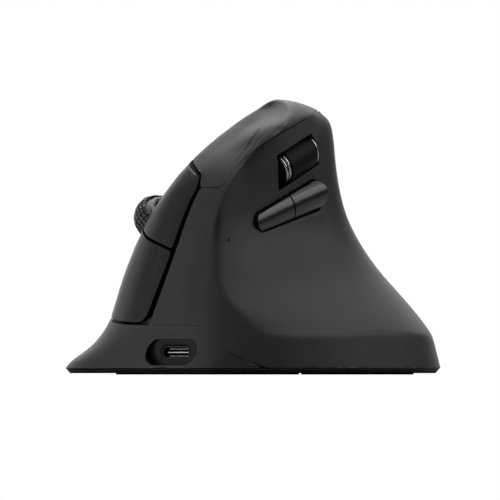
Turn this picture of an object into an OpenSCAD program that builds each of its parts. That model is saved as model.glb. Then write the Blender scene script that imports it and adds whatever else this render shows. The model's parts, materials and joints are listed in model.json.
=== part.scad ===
// Vertical ergonomic mouse, right-handed, in millimetres.
// +Y points to the front (charging socket), +X to the finger side, +Z up; the desk is z = 0.

/* [Body] */
// Height of the crown above the desk
body_h = 70; // [66:1:76]
// Width over the thumb skirt and the little-finger lip
body_w = 77.6; // [74:0.2:83]
// Length from the front face to the heel
body_l = 97.6; // [94:0.2:106]
// Wall of the moulded shells
wall = 2.2; // [1.8:0.1:2.6]
// Fine line between fixed shells
parting_gap = 0.25; // [0.2:0.05:0.5]
// Line around the main buttons
key_gap = 0.8; // [0.7:0.05:1.2]
// Wide line between the main buttons and the front strip
front_gap = 1.5; // [1.1:0.1:2]

/* [Scroll wheel] */
// Diameter over the tread
wheel_d = 26.4; // [25:0.2:27]
// Width of the tyre
wheel_w = 7.6; // [7:0.1:7.8]
// How far the wheel stands out of the finger side
wheel_proud = 6.2; // [5.4:0.2:6.6]
// Diameter of the wheel axle
wheel_axle_d = 2; // [1.6:0.1:2.4]

/* [Thumb controls] */
// Diameter of the thumb roller
roller_d = 10; // [9.4:0.2:10.4]
// Length of the thumb roller over its end rings
roller_l = 14.4; // [13.4:0.2:14.6]
// How far the roller stands out of the thumb wall
roller_proud = 1.6; // [1:0.1:2]
// Length of the pair of side buttons
side_l = 30; // [26:1:32]
// Height of the side buttons at their front end
side_front_h = 4.4; // [4:0.2:5.2]
// Height of the side buttons at their rear end
side_rear_h = 7.4; // [6.4:0.2:8]

/* [Underside] */
// Thickness of the glide pads
skate_t = 0.7; // [0.6:0.05:0.9]
// Length of the chamfer under the edge
edge_chamfer = 1.35; // [1:0.05:1.5]
// Travel of the mode slider to each side
mode_travel = 2; // [1.5:0.25:2.5]

/* [Hidden] */
$fn = 48;
// Heights and reaches of the form curves are drawn for this size and stretched to the body
drawn_h = 70;
drawn_w = 77.6;
drawn_l = 97.6;
stretch_h = body_h / drawn_h;
stretch_w = body_w / drawn_w;
stretch_l = body_l / drawn_l;

// Share of the wall taken off each reach and added to the height, for the inner face
inset_share = 0.75;
skate_recess = 0.35;
plate_bottom = skate_t - skate_recess;
rim_z = plate_bottom + edge_chamfer;

// Upright axis that the rings of the body are drawn around
axis = [-3 * stretch_w, -3 * stretch_l];

// Form curves, [height, reach]: front face and nose, thumb scoop, finger side, heel
front_curve = [[0, 50], [12.5, 44.8], [31, 37.3], [44, 31.5], [50, 26.5], [55, 20.3], [60, 12.5],
    [65, 4.5], [68, -0.2], [70, -3]];
thumb_curve = [[0, -46], [8, -40.6], [10.7, -36.9], [15.4, -31.9], [20, -27], [27, -20], [34.5, -15.2],
    [42, -13], [50, -12.3], [60, -12.3], [65, -11.8], [68, -9.4], [70, -3]];
finger_curve = [[0, 60], [2, 46], [3.2, 40.5], [5, 36.8], [8, 33.6], [14, 31.5], [25, 29], [36, 24.3],
    [45, 18.3], [54, 11.9], [60, 8.4], [65, 4.7], [68, 1.2], [70, -3]];
heel_curve = [[0, -56], [8, -50.7], [18, -45.2], [29, -36], [42, -27.3], [54, -23.7], [60, -22.8],
    [64, -21.6], [66, -19.7], [68, -14.4], [69, -10.6], [70, -3]];
// How far past the front face the finger and thumb rings would run, as a ratio
finger_overrun = [[0, 1.003], [3, 1.003], [8, 1.01], [47, 1.01], [54, 1.03], [60, 1.1], [70, 1.15]];
thumb_overrun = [[0, 1.3], [11, 1.29], [13, 1.34], [17, 1.38], [26, 1.37], [30, 1.43], [38, 1.65], [44, 2.1],
    [50, 2.4], [60, 2.6], [70, 2.6]];
// Squareness of the ring in each quarter
finger_front_square = [[0, 4.4], [3, 4.2], [5, 3.4], [8, 2.85], [14, 2.47], [30, 2.54], [47, 2.87],
    [54, 3.42], [60, 3.6], [70, 3.6]];
thumb_front_square = [[0, 1.8], [20, 1.8], [30, 2.1], [38, 2.35], [70, 2.35]];
finger_heel_square = 2.2;
thumb_heel_square = 2.05;
// Skirt: reaches at the desk, draft, squareness on the two sides
skirt_finger = 39.3;
skirt_thumb = 39.33;
skirt_front = 56;
skirt_heel = 49.6;
skirt_draft = 0.24;
skirt_square_finger = 2.95;
skirt_square_thumb = 2.22;
// How far the skirt would run past the front face at the thumb corner, by height
skirt_margin = [[0, 7.5], [20, 2.5], [24, 1.9], [36, 1.9], [46, 5], [70, 12]];
// How crisp the edges are: front face by height, its middle and thumb corner, skirt at fingers and heel
edge_crisp = [[0, 36], [45, 36], [58, 18], [70, 18]];
middle_crisp = 120;
corner_share = 0.19;
corner_crisp = 30;
skirt_crisp = [18, 30];
// How crisp the lip of the thumb scoop is, by height
lip_crisp = [[0, 120], [22, 120], [32, 36], [45, 36], [58, 18], [70, 18]];

// Smooth curve through [position, value] pairs in rising order
function span(tab, x, i = 0) = i >= len(tab) - 2 || x < tab[i + 1][0] ? i : span(tab, x, i + 1);
function grade(tab, i) = (tab[i + 1][1] - tab[i][1]) / (tab[i + 1][0] - tab[i][0]);
function slope_at(tab, i) =
    i == 0 ? grade(tab, 0)
    : i == len(tab) - 1 ? grade(tab, i - 1)
    : let (a = grade(tab, i - 1), b = grade(tab, i)) a * b <= 0 ? 0 : 2 * a * b / (a + b);
function curve(tab, at) =
    let (x = min(max(at, tab[0][0]), tab[len(tab) - 1][0]), i = span(tab, x), h = tab[i + 1][0] - tab[i][0],
         f = (x - tab[i][0]) / h, g = 1 - f)
    (1 + 2 * f) * g * g * tab[i][1] + f * g * g * h * slope_at(tab, i)
    + f * f * (3 - 2 * f) * tab[i + 1][1] - f * f * g * h * slope_at(tab, i + 1);

// Reaches are smooth in the root of the distance to the crown, which rounds the top
function root_of(z) = sqrt(max(1 - z / drawn_h, 0));
function by_root(tab) = [for (i = [len(tab) - 1:-1:0]) [root_of(tab[i][0]), tab[i][1]]];
front_form = by_root(front_curve);
thumb_form = by_root(thumb_curve);
finger_form = by_root(finger_curve);
heel_form = by_root(heel_curve);

// Distance along a ray at angle psi to a ring with reaches a (across) and b (along)
function ring(c, s, a, b, n) = pow(pow(abs(c) / a, n) + pow(abs(s) / b, n), -1 / n);
// The smaller of two radii, with a rounded change from one to the other
function softer(a, b, crisp) = pow(pow(a, -crisp) + pow(b, -crisp), -1 / crisp);
function mix(a, b, f) = a + (b - a) * f;
// The forms that bound the body, as radii at angle psi and height z: scoop and palm, front face, skirt
// Inset 0 is the outside
function drawn_z(z, inset) = min((z + inset * inset_share) / stretch_h, drawn_h);
function forms(psi, z, inset) =
    let (c = cos(psi), s = sin(psi), d = inset * inset_share, zd = drawn_z(z, inset), w = root_of(zd),
         tiny = 0.02,
         front = max(stretch_l * curve(front_form, w) - axis.y - d, tiny),
         heel = max(axis.y - stretch_l * curve(heel_form, w) - d, tiny),
         finger = max(stretch_w * curve(finger_form, w) - axis.x - d, tiny),
         thumb = max(axis.x - stretch_w * curve(thumb_form, w) - d, tiny),
         square = s >= 0 ? curve(c >= 0 ? finger_front_square : thumb_front_square, zd)
                         : (c >= 0 ? finger_heel_square : thumb_heel_square),
         overrun = curve(c >= 0 ? finger_overrun : thumb_overrun, zd),
         draft = skirt_draft * zd + d,
         across = (c >= 0 ? skirt_finger * stretch_w - axis.x : skirt_thumb * stretch_w + axis.x) - draft,
         along = s < 0 ? skirt_heel * stretch_l + axis.y - draft
             : c >= 0 ? skirt_front * stretch_l - axis.y - draft
             : front + stretch_l * curve(skirt_margin, zd))
    [ring(c, s, c >= 0 ? finger : thumb, s >= 0 ? front * overrun : heel, square),
     s > 0.001 ? front / s : 1000,
     ring(c, s, across, along, c >= 0 ? skirt_square_finger : skirt_square_thumb)];
function radius(psi, z, inset) =
    let (c = cos(psi), s = sin(psi), zd = drawn_z(z, inset), f = forms(psi, z, inset),
         turn = min(1, abs(c) / corner_share),
         lip = s < 0 ? mix(curve(lip_crisp, zd), skirt_crisp[1], pow(-s, 3))
             : mix(middle_crisp, curve(lip_crisp, zd), turn))
    c >= 0 ? softer(softer(f[0], f[1], mix(middle_crisp, curve(edge_crisp, zd), turn)), f[2],
                    mix(skirt_crisp[1], skirt_crisp[0], c))
           : softer(f[0], softer(f[1], f[2], mix(middle_crisp, corner_crisp, turn)), lip);
// Height of the lip of the thumb scoop
function lip_z(psi, lo = 0, hi = 40, n = 16) =
    let (m = (lo + hi) / 2, f = forms(psi, m, 0))
    n == 0 ? m : f[0] > min(f[1], f[2]) ? lip_z(psi, m, hi, n - 1) : lip_z(psi, lo, m, n - 1);
function skin(psi, z, inset) =
    let (r = radius(psi, z, inset)) [axis.x + r * cos(psi), axis.y + r * sin(psi), z];
// Distance from a point inside, along a direction, to the outside of the body
function inside(p) = norm([p.x - axis.x, p.y - axis.y]) < radius(atan2(p.y - axis.y, p.x - axis.x), p.z, 0);
function reach(from, dir, lo, hi, n = 16) =
    let (m = (lo + hi) / 2)
    n == 0 ? m : inside(from + m * dir) ? reach(from, dir, m, hi, n - 1) : reach(from, dir, lo, m, n - 1);

// Lines on the body, as heights by angle
front_top_z = 47.5 * stretch_h;
base_z = 12.5 * stretch_h;
heel_angle = 262;
key_heel_angle = -14;
ridge_line = [[-14, 61], [0, 60.6], [20, 59.2], [40, 57.4], [62, 55], [75, 52.9], [82, 51.6], [86, 50.6],
    [88.5, 48.2], [90, 47.5], [101, 47.5], [104.5, 52], [109, 55.6], [122, 60], [144, 62.7], [197, 65.8],
    [235, 67], [262, 67.3], [300, 65.6], [346, 61]];
base_line = [[-98, 13.5], [-40, 15.5], [0, 16], [40, 15.4], [60, 13.8], [72, 12.7], [82, 12.5], [105, 12.5],
    [108, 10.8], [112, 6.5], [119, 3.4], [122, 2.3], [124, 1.6], [129, 0]];
split_line = [[-14, 41], [0, 41], [20, 40.7], [36, 40.2], [50, 39], [56, 37.9], [62, 36.4], [70, 34.7],
    [78, 33.2], [86, 31.6]];
function ridge_z(psi) = stretch_h * curve(ridge_line, psi < -14 ? psi + 360 : psi);
function base_line_z(psi) = max(stretch_h * curve(base_line, psi >= heel_angle ? psi - 360 : psi), rim_z);
function split_z(psi) = stretch_h * curve(split_line, psi);
// The line between the main buttons and the front strip leans with the height
function gap_angle(z) = 82 + 0.145 * z / stretch_h;
function angle_of(mm, psi, z) = mm / radius(psi, z, 0) * 180 / PI;

// Triangles of a closed shell between an outer and an inner grid; on(i, j) keeps a cell
function quad(a, b, c, d) = [[a, b, c], [a, c, d]];
function grid_faces(cols, rows, loop, on) =
    let (n = cols * rows, last = loop ? cols - 1 : cols - 2, at = function (i, j) (i % cols) * rows + j,
         open = function (i, j) j < 0 || j > rows - 2 || (!loop && (i < 0 || i > last)) ? true
             : !on((i + cols) % cols, j))
    [for (i = [0:last], j = [0:rows - 2]) if (on(i, j))
        let (a = at(i, j), b = at(i, j + 1), c = at(i + 1, j + 1), d = at(i + 1, j))
        each concat(quad(a, b, c, d), quad(n + d, n + c, n + b, n + a),
            open(i - 1, j) ? quad(b, a, n + a, n + b) : [],
            open(i + 1, j) ? quad(d, c, n + c, n + d) : [],
            open(i, j - 1) ? quad(a, d, n + d, n + a) : [],
            open(i, j + 1) && !(loop && j == rows - 2) ? quad(c, b, n + b, n + c) : [])];
module shell(outer, inner, loop = false, on = function (i, j) true) {
    cols = len(outer);
    rows = len(outer[0]);
    n = cols * rows;
    top = rows - 1;
    crown = loop ? [[for (i = [cols - 1:-1:0]) i * rows + top],
        [for (i = [0:cols - 1]) n + i * rows + top]] : [];
    polyhedron([for (c = outer) each c, for (c = inner) each c],
        concat(grid_faces(cols, rows, loop, on), crown), convexity = 10);
}

// Angles shared by the shells, closer together round the front corner
column_step = 6;
finger_columns = [for (a = [key_heel_angle:column_step:82]) a];
corner_columns = [for (a = [101:1.5:119]) a];
thumb_steps = 30;
thumb_columns = [for (i = [0:thumb_steps]) mix(124, heel_angle, i / thumb_steps)];
palm_columns = [for (a = [heel_angle + column_step:column_step:345]) a];
cover_columns = concat(finger_columns, [84, 86, 88, 90, 94, 98], corner_columns, thumb_columns, palm_columns);
heel_column = len(cover_columns) - len(palm_columns) - 1;
palm_rows = 9;
crown_rows = 13;
crown_end = 0.975;
// How much closer together the rows of the crown are near its edge
crown_ease = 1.7;

// Crown and palm: the rows below the ridge line exist only behind the buttons
function cover_z(psi, j, top) =
    let (edge = ridge_z(psi) + parting_gap / 2, low = base_line_z(psi) + parting_gap / 2,
         f = crown_end * (j - palm_rows) / crown_rows)
    j < palm_rows ? mix(low, edge, j / palm_rows) : edge + (top - edge) * (1 - pow(1 - f, crown_ease));
function cover_grid(inset) =
    [for (psi = cover_columns) [for (j = [0:palm_rows + crown_rows])
        skin(psi, cover_z(psi, j, body_h - inset * inset_share), inset)]];
module cover_shell() {
    shell(cover_grid(0), cover_grid(wall), true,
        function (i, j) j >= palm_rows || i >= heel_column);
}

// Front strip, thumb scoop and skirt in one moulding
// Rows as shares of the height below the lip of the skirt and of the height above it
lip_shares = [0, 0.2, 0.4, 0.6, 0.78, 0.92];
side_shares = [0, 0.025, 0.07, 0.14, 0.22, 0.31, 0.4, 0.49, 0.58, 0.67, 0.76, 0.84, 0.91, 0.96, 1];
strip_angle = gap_angle(front_top_z) + angle_of(front_gap / 2, 90, front_top_z);
side_columns = concat([for (i = [0:3]) mix(strip_angle, corner_columns[0], i / 4)], corner_columns,
    [for (i = [0:len(thumb_columns) - 2]) thumb_columns[i]],
    [heel_angle - angle_of(parting_gap, heel_angle, base_z)]);
// On the strip, where there is no lip, its row stays at one height
strip_lip_z = 34 * stretch_h;
function side_lip_z(psi) = psi < corner_columns[2] ? strip_lip_z : min(lip_z(psi), strip_lip_z);
// The columns beside the gap lean with it; those from the corner on stay upright
function side_psi(psi, z) =
    let (edge = gap_angle(z) + angle_of(front_gap / 2, 90, z),
         share = max(0, (corner_columns[0] - psi) / (corner_columns[0] - strip_angle)))
    psi - (strip_angle - edge) * share;
function side_low(psi) =
    let (low = base_line_z(psi) + parting_gap / 2)
    low < rim_z + parting_gap ? rim_z : low;
function side_heights(psi) =
    let (low = side_low(psi), lip = side_lip_z(psi), top = ridge_z(psi) - parting_gap / 2)
    concat([for (f = lip_shares) mix(low, lip, f)], [for (f = side_shares) mix(lip, top, f)]);
function side_grid(inset) =
    [for (psi = side_columns) [for (z = side_heights(psi)) skin(side_psi(psi, z), z, inset)]];

// Base ring: solid little-finger lip, upright inner face
base_rows = 8;
base_end = 122;
base_columns = concat([for (a = [heel_angle - 360:column_step:82]) a], [88, 94], [for (a = corner_columns) a],
    [base_end]);
function base_grid(inset) =
    [for (psi = base_columns) let (top = base_line_z(psi) - parting_gap / 2) [for (j = [0:base_rows])
        let (z = mix(rim_z, top, pow(j / base_rows, 1.5)),
             p = inset == 0 ? skin(psi, z, 0) : skin(psi, top, inset))
        [p.x, p.y, z]]];

// Main buttons: patches of the body
key_columns = 20;
key_rows = 7;
key_wall = wall - 0.3;
// Corners at the gap, bottom and top: the upper button is round above, the lower one below
left_corners = [0.6, 1.8];
right_corners = [3.2, 0.6];
function corner_drop(mm, r) = mm >= r ? 0 : mm <= 0 ? r : r - sqrt(r * r - (r - mm) * (r - mm));
function key_grid(lower, inset) =
    [for (i = [0:key_columns]) [for (j = [0:key_rows])
        let (f = j / key_rows, s = 1 - pow(1 - i / key_columns, 2),
             z_front = stretch_h * (lower ? mix(12.5, 31.4, f) : mix(31.4, 49, f)),
             first = key_heel_angle + angle_of(key_gap, 0, z_front),
             last = gap_angle(z_front) - angle_of(front_gap / 2, 88, z_front),
             psi = mix(first, last, s), from_gap = (last - psi) * PI / 180 * radius(last, z_front, 0),
             corners = lower ? right_corners : left_corners,
             lo = lower ? base_line_z(psi) + key_gap : split_z(psi) + key_gap / 2,
             hi = lower ? split_z(psi) - key_gap / 2 : ridge_z(psi) - key_gap,
             bottom = lo + corner_drop(from_gap, corners[0]), top = hi - corner_drop(from_gap, corners[1]))
        skin(psi, mix(bottom, top, f), inset)]];

// Frame of the finger side: x out of the finger side, y to the front, z up the slope
finger_lean = 36;
finger_origin = skin(36, 40.3 * stretch_h, 0);
function finger_point(p) = finger_origin + [p.x * cos(finger_lean) - p.z * sin(finger_lean), p.y,
    p.x * sin(finger_lean) + p.z * cos(finger_lean)];
finger_out = [cos(finger_lean), 0, sin(finger_lean)];
module on_finger() {
    translate(finger_origin) rotate([0, -finger_lean, 0]) children();
}
// Outside of the finger side above a point of that frame
function finger_skin(q, h) = let (depth = 12) reach(finger_point([-depth, q, h]), finger_out, 0, 24) - depth;

// Frame of the thumb side: x out of the thumb wall, y to the rear and up, z up across it
side_rise = 16.3;
roller_rise = 22;
function thumb_wall(y, z) = [-reach([0, y, z], [-1, 0, 0], 0, 40), y, z];
side_origin = thumb_wall(5 * stretch_l, 42.4 * stretch_h);
roller_origin = thumb_wall(0.3 * stretch_l, 54.6 * stretch_h);
module on_side() {
    translate(side_origin) rotate([side_rise, 0, 180]) children();
}
module at_roller() {
    translate(roller_origin) rotate([roller_rise, 0, 180]) children();
}
function thumb_point(origin, rise, p) =
    origin + [-p.x, -p.y * cos(rise) + p.z * sin(rise), p.y * sin(rise) + p.z * cos(rise)];
function thumb_skin(origin, rise, e, v) =
    let (depth = 8) reach(thumb_point(origin, rise, [-depth, e, v]), [-1, 0, 0], 0, 24) - depth;

// Helpers: a box from corner to corner, a rod along x, a plate with round corners
module block(lo, hi) {
    translate(lo) cube(hi - lo);
}
module rod_x(at, r, x0, x1) {
    translate([x0, at.x, at.y]) rotate([0, 90, 0]) cylinder(r = r, h = x1 - x0);
}
module rod_y(at, r, y0, y1) {
    translate([at.x, y0, at.y]) rotate([-90, 0, 0]) cylinder(r = r, h = y1 - y0);
}
module rod_z(at, r, z0, z1) {
    translate([at.x, at.y, z0]) cylinder(r = r, h = z1 - z0);
}
module round_rect(l, w, r) {
    square([l - 2 * r, w], center = true);
    square([l, w - 2 * r], center = true);
    for (i = [-1, 1], j = [-1, 1]) translate([i * (l / 2 - r), j * (w / 2 - r)]) circle(r);
}

// Fits
running_fit = 0.06;
press_fit = 0.02;
loose_fit = 0.4;

// Finger-side stations
wheel_p = wheel_proud - wheel_d / 2;
finger_board_p = wheel_p - 7.5;
board_t = 1.2;
frame_t = 2;
frame_p = finger_board_p - board_t - frame_t;
rod_r = 1.25;
rod_p = wheel_p - 1.5;
rod_q = -18.7;
knuckle_r = 2.5;
wheel_window = [2 * (sqrt(pow(wheel_d / 2, 2) - pow(7.5, 2)) + 1), wheel_w + 2];
key_slot = [wheel_d + 2.6, wheel_w + 1.8];
slot_corner = 2.5;
switch_h = 12.2;
lower_switch_h = -14.3;
switch_q = -1;
switch_size = [6.5, 12.8, 5.8];
plunger_q = switch_q + 1.5;
plunger_top = finger_board_p + switch_size.x + 1;
encoder_h = [wheel_w / 2 + 0.85, wheel_w / 2 + 5.25];
tilt_h = (encoder_h[0] + encoder_h[1]) / 2;
cradle_h = [-wheel_w / 2 - 6.2, -wheel_w / 2 - 2.2];
cradle_bottom = wheel_p - 3.2;
// Arm of the carrier behind the wheel
carrier_q = [-wheel_d / 2 - 1.8, -wheel_d / 2 - 0.4];
tilt_pin_r = 1;
tilt_pin_end = -3.5;
// Edges of the board and the frame, across and along the finger side
board_q = [-14.5, 14];
board_h = [-17.5, 14.8];

// Knuckles of the two main buttons along the rod, as [from, to]
left_knuckles = stretch_w * [[3, 7], [10, 13.6]];
right_knuckles = stretch_w * [[-7, -3], [-15.3, -11.3]];
rod_ears = stretch_w * [[-18, -16], [-1.2, 1.2], [14.4, 16.4]];

module key(lower, knuckles, post_h) {
    difference() {
        union() {
            shell(key_grid(lower, 0), key_grid(lower, key_wall));
            on_finger() {
                for (k = knuckles) {
                    top = min(finger_skin(rod_q, k[0]), finger_skin(rod_q, k[1])) - 0.8;
                    block([rod_p, rod_q - 1.25, k[0]], [top, rod_q + 1.25, k[1]]);
                    translate([rod_p, rod_q, k[0]]) cylinder(r = knuckle_r, h = k[1] - k[0]);
                }
                post_top = finger_skin(plunger_q, post_h) - 0.9;
                block([plunger_top, plunger_q - 2, post_h - 1.2], [post_top, plunger_q + 2, post_h + 1.2]);
            }
        }
        on_finger() {
            translate([rod_p, rod_q, -30]) cylinder(r = rod_r + running_fit, h = 60);
            translate([-16, 0, 0]) rotate([90, 0, 90]) linear_extrude(32)
                round_rect(key_slot.x, key_slot.y, slot_corner);
        }
    }
}
module left_button() {
    color("#2a2b2d") key(false, left_knuckles, switch_h);
}
module right_button() {
    color("#2a2b2d") key(true, right_knuckles, lower_switch_h);
}

// Outer mouldings
socket_x = -8 * stretch_w;
socket_z = 5.65;
recess_size = [16.4, 7];
recess_depth = 4;
recess_wall = 1.3;
socket_size = [8.94, 3.26];
socket_shell_t = 0.3;
front_y = reach([socket_x, 0, socket_z], [0, 1, 0], 0, 90);
recess_y = front_y - recess_depth;
module base_skirt() {
    color("#252627") difference() {
        union() {
            shell(base_grid(0), base_grid(wall));
            // Back wall of the socket recess
            block([socket_x - recess_size.x / 2 - recess_wall, recess_y - recess_wall, rim_z + 0.3],
                [socket_x + recess_size.x / 2 + recess_wall, recess_y + 1,
                    socket_z + recess_size.y / 2 + recess_wall]);
        }
        translate([socket_x, recess_y, socket_z]) rotate([-90, 0, 0]) linear_extrude(12)
            round_rect(recess_size.x, recess_size.y, recess_size.y / 2 - 0.05);
        translate([socket_x, recess_y - 12, socket_z]) rotate([-90, 0, 0]) linear_extrude(14)
            round_rect(socket_size.x + 0.5, socket_size.y + 0.6, (socket_size.y + 0.6) / 2 - 0.02);
    }
}

// Posts that the case screws pull down to the bottom plate: thumb side, palm side
post_r = 3;
screw_r = 1;
thumb_posts = [[-25 * stretch_w, 22 * stretch_l], [-25 * stretch_w, -20 * stretch_l]];
palm_posts = [[17 * stretch_w, -27 * stretch_l]];
function roof_z(at) = reach([at.x, at.y, rim_z + 1], [0, 0, 1], 0, body_h) + rim_z + 1;
floor_top = rim_z + 0.5;
// A post ends in the wall above its lowest edge, so that it never shows outside
function post_top(at) = min([for (a = [0:45:315]) roof_z(at + post_r * [cos(a), sin(a)])]) - wall / 2;
module screw_post(at) {
    translate([at.x, at.y, floor_top]) cylinder(r = post_r, h = post_top(at) - floor_top);
}
module screw_hole(at) {
    translate([at.x, at.y, 0]) cylinder(r = screw_r + press_fit, h = floor_top + 9);
}

module top_cover() {
    color("#2c2d2f") difference() {
        union() {
            cover_shell();
            for (at = palm_posts) screw_post(at);
        }
        for (at = palm_posts) screw_hole(at);
    }
}

// Thumb-side stations, measured inward from the thumb wall
roller_r = roller_d / 2;
roller_p = roller_proud - roller_r;
roller_gap = 0.8;
roller_relief = 0.35;
// Opening of the roller: half height, upright front end, round rear end
window_half = 0.86 * roller_r;
window_front_e = -roller_l / 2 - 1.7;
window_rear_e = roller_l / 2 + 1.2;
window_corner = 2;
module roller_opening() {
    lean = window_half * tan(roller_rise);
    polygon([[window_front_e - lean, -window_half], [window_corner, -window_half],
        [window_corner, window_half], [window_front_e + lean, window_half]]);
    translate([window_rear_e / 2, 0]) round_rect(window_rear_e, 2 * window_half, window_corner);
}
flange_p = roller_p - roller_r - 0.6;
flange_t = 1.4;
flange_e = [-18.2, 14.6];
roller_boss_e = [-16, 12.4];
side_board_p = -7.2 * stretch_w;
side_board_t = 0.8;
side_boss_v = -7;
side_boss_e = [-8, 8];
boss_r = 2.2;
pilot_r = 0.8;
light_psi = 107.5;
light_z = 34.2 * stretch_h;
light_r = 0.35;
light_at = skin(light_psi, light_z, 0);
// Side buttons: one tapered bar, cut across
side_front_e = -side_l / 2 + side_front_h / 2;
side_rear_e = side_l / 2 - side_rear_h / 2;
side_split_e = 0.7;
side_gap = 0.5;
side_travel = 0.5;
module side_bar(grow) {
    r0 = side_front_h / 2 + grow;
    r1 = side_rear_h / 2 + grow;
    tilt = asin((r1 - r0) / (side_rear_e - side_front_e));
    translate([side_front_e, 0]) circle(r0);
    translate([side_rear_e, 0]) circle(r1);
    // The corners stop just inside the end circles, so that no edge only touches one
    within = 0.99;
    polygon([for (s = [1, -1]) each [for (k = s > 0 ? [0, 1] : [1, 0]) let (r = within * mix(r0, r1, k))
        [mix(side_front_e, side_rear_e, k) - r * sin(tilt), s * r * cos(tilt)]]]);
}
// A shape drawn as (rearward, across) on the thumb wall, swept from p0 to p1
module thumb_sweep(p0, p1) {
    translate([p0, 0, 0]) rotate([90, 0, 90]) linear_extrude(p1 - p0) children();
}
module side_shell() {
    color("#2a2b2d") difference() {
        union() {
            shell(side_grid(0), side_grid(wall));
            for (at = thumb_posts) screw_post(at);
            at_roller() for (e = roller_boss_e)
                rod_x([e, 0], boss_r, flange_p, thumb_skin(roller_origin, roller_rise, e, 0) - 1);
            on_side() for (e = side_boss_e)
                rod_x([e, side_boss_v], boss_r, side_board_p,
                    thumb_skin(side_origin, side_rise, e, side_boss_v) - 1.2);
        }
        for (at = thumb_posts) screw_hole(at);
        at_roller() {
            thumb_sweep(-9, 9) roller_opening();
            // Inside the wall the opening widens round the roller
            rod_y([roller_p, 0], roller_r + roller_relief, -roller_l / 2 - 0.7, roller_l / 2 + 0.7);
            for (e = roller_boss_e) rod_x([e, 0], pilot_r + press_fit, flange_p - 1, flange_p + 5);
        }
        on_side() {
            thumb_sweep(-5, 9) side_bar(side_gap);
            for (e = side_boss_e)
                rod_x([e, side_boss_v], pilot_r + press_fit, side_board_p - 1, side_board_p + 3.6);
        }
        translate(light_at) rotate([0, 90, 0]) translate([0, 0, -6])
            cylinder(r = light_r + press_fit, h = 12);
    }
}

// Bottom plate
plate_steps = 72;
function plate_ring(z, inset) = [for (i = [0:plate_steps - 1])
    let (psi = 360 * i / plate_steps, r = radius(psi, rim_z, 0) - inset)
    [axis.x + r * cos(psi), axis.y + r * sin(psi), z]];
board_z = 7.4;
standoff_r = 2.4;
main_board_t = 1.2;
function placed(at) = [at.x * stretch_w, at.y * stretch_l];
standoffs = [for (at = [[-24, -8], [-24, 28.5], [10, -12], [9, 32]]) placed(at)];
sensor_at = placed([-3, 6]);
sensor_window = [9, 7];
mode_at = placed([-14, -8]);
dpi_at = placed([3, -9]);
dpi_r = 3;
battery_at = placed([-3.2, -28.5]);
battery_size = [30, 18, 7.5];
battery_z = floor_top + 1.4;
front_skate_at = placed([-1, 38]);
rear_skate_at = placed([-3, -36]);
skate_size = [34, 8];
sensor_skate_r = 11;
leg_t = 6;
frame_foot = finger_point([frame_p + frame_t / 2, 0, -18]);
leg_y = [finger_origin.y - 9.5, finger_origin.y + 8.5];
leg_posts = [for (y = leg_y) [frame_foot.x, y]];
case_screw_at = concat(thumb_posts, palm_posts, leg_posts);
module skate_shape() {
    round_rect(skate_size.x, skate_size.y, skate_size.y / 2 - 0.1);
}
module sensor_ring(r0, r1) {
    difference() {
        circle(r1);
        circle(r0);
    }
}
module bottom_plate() {
    color("#1b1b1c") difference() {
        union() {
            lower = plate_ring(plate_bottom, edge_chamfer);
            upper = plate_ring(rim_z, 0.15);
            n = plate_steps;
            polyhedron(concat(lower, upper),
                concat([[for (i = [0:n - 1]) i]], [[for (i = [n - 1:-1:0]) n + i]],
                [for (i = [0:n - 1]) let (k = (i + 1) % n) each quad(i, n + i, n + k, k)]));
            for (at = standoffs) rod_z(at, standoff_r, rim_z - 0.2, board_z);
            for (at = case_screw_at) rod_z(at, post_r + 1, rim_z - 0.2, floor_top);
            translate([battery_at.x, battery_at.y, rim_z - 0.2]) {
                for (s = [-1, 1]) {
                    block([s * 10 - 1.5, -8, 0], [s * 10 + 1.5, 8, battery_z - rim_z + 0.2]);
                    translate([s * (battery_size.x / 2 + 1), 0, 0]) block([-0.8, -6, 0], [0.8, 6, 6]);
                }
            }
        }
        for (at = case_screw_at) translate([at.x, at.y, -1]) {
            cylinder(r = screw_r + 0.15, h = 12);
            cylinder(r = 2.3, h = plate_bottom + 1.9);
        }
        for (at = standoffs) translate([at.x, at.y, rim_z]) cylinder(r = pilot_r + press_fit, h = 12);
        translate([sensor_at.x, sensor_at.y, -1]) linear_extrude(6)
            round_rect(sensor_window.x, sensor_window.y, 2);
        translate([mode_at.x, mode_at.y, -1]) linear_extrude(6) round_rect(5, 4 + 2 * mode_travel + 1, 1);
        translate([dpi_at.x, dpi_at.y, -1]) cylinder(r = dpi_r + 0.35, h = 6);
        for (at = [front_skate_at, rear_skate_at]) translate([at.x, at.y, -1])
            linear_extrude(1 + plate_bottom + skate_recess)
                round_rect(skate_size.x + 0.3, skate_size.y + 0.3, 3.9);
        translate([sensor_at.x, sensor_at.y, -1]) linear_extrude(1 + plate_bottom + skate_recess)
            sensor_ring(sensor_skate_r - 3.65, sensor_skate_r + 0.15);
    }
}
module front_skate() {
    color("#3a3a3c") translate([front_skate_at.x, front_skate_at.y, 0]) linear_extrude(skate_t) skate_shape();
}
module rear_skate() {
    color("#3a3a3c") translate([rear_skate_at.x, rear_skate_at.y, 0]) linear_extrude(skate_t) skate_shape();
}
module sensor_skate() {
    color("#3a3a3c") translate([sensor_at.x, sensor_at.y, 0]) linear_extrude(skate_t)
        sensor_ring(sensor_skate_r - 3.5, sensor_skate_r);
}

// Screws: a countersunk-free pan head below, thread above
module case_screws() {
    color("#9a9c9f") for (at = case_screw_at) translate([at.x, at.y, plate_bottom + 0.9]) {
        translate([0, 0, -0.75]) difference() {
            cylinder(r = 2, h = 0.75);
            for (a = [0, 90]) rotate(a) block([-1.3, -0.25, -0.1], [1.3, 0.25, 0.4]);
        }
        cylinder(r = screw_r, h = 7.5);
    }
}

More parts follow.
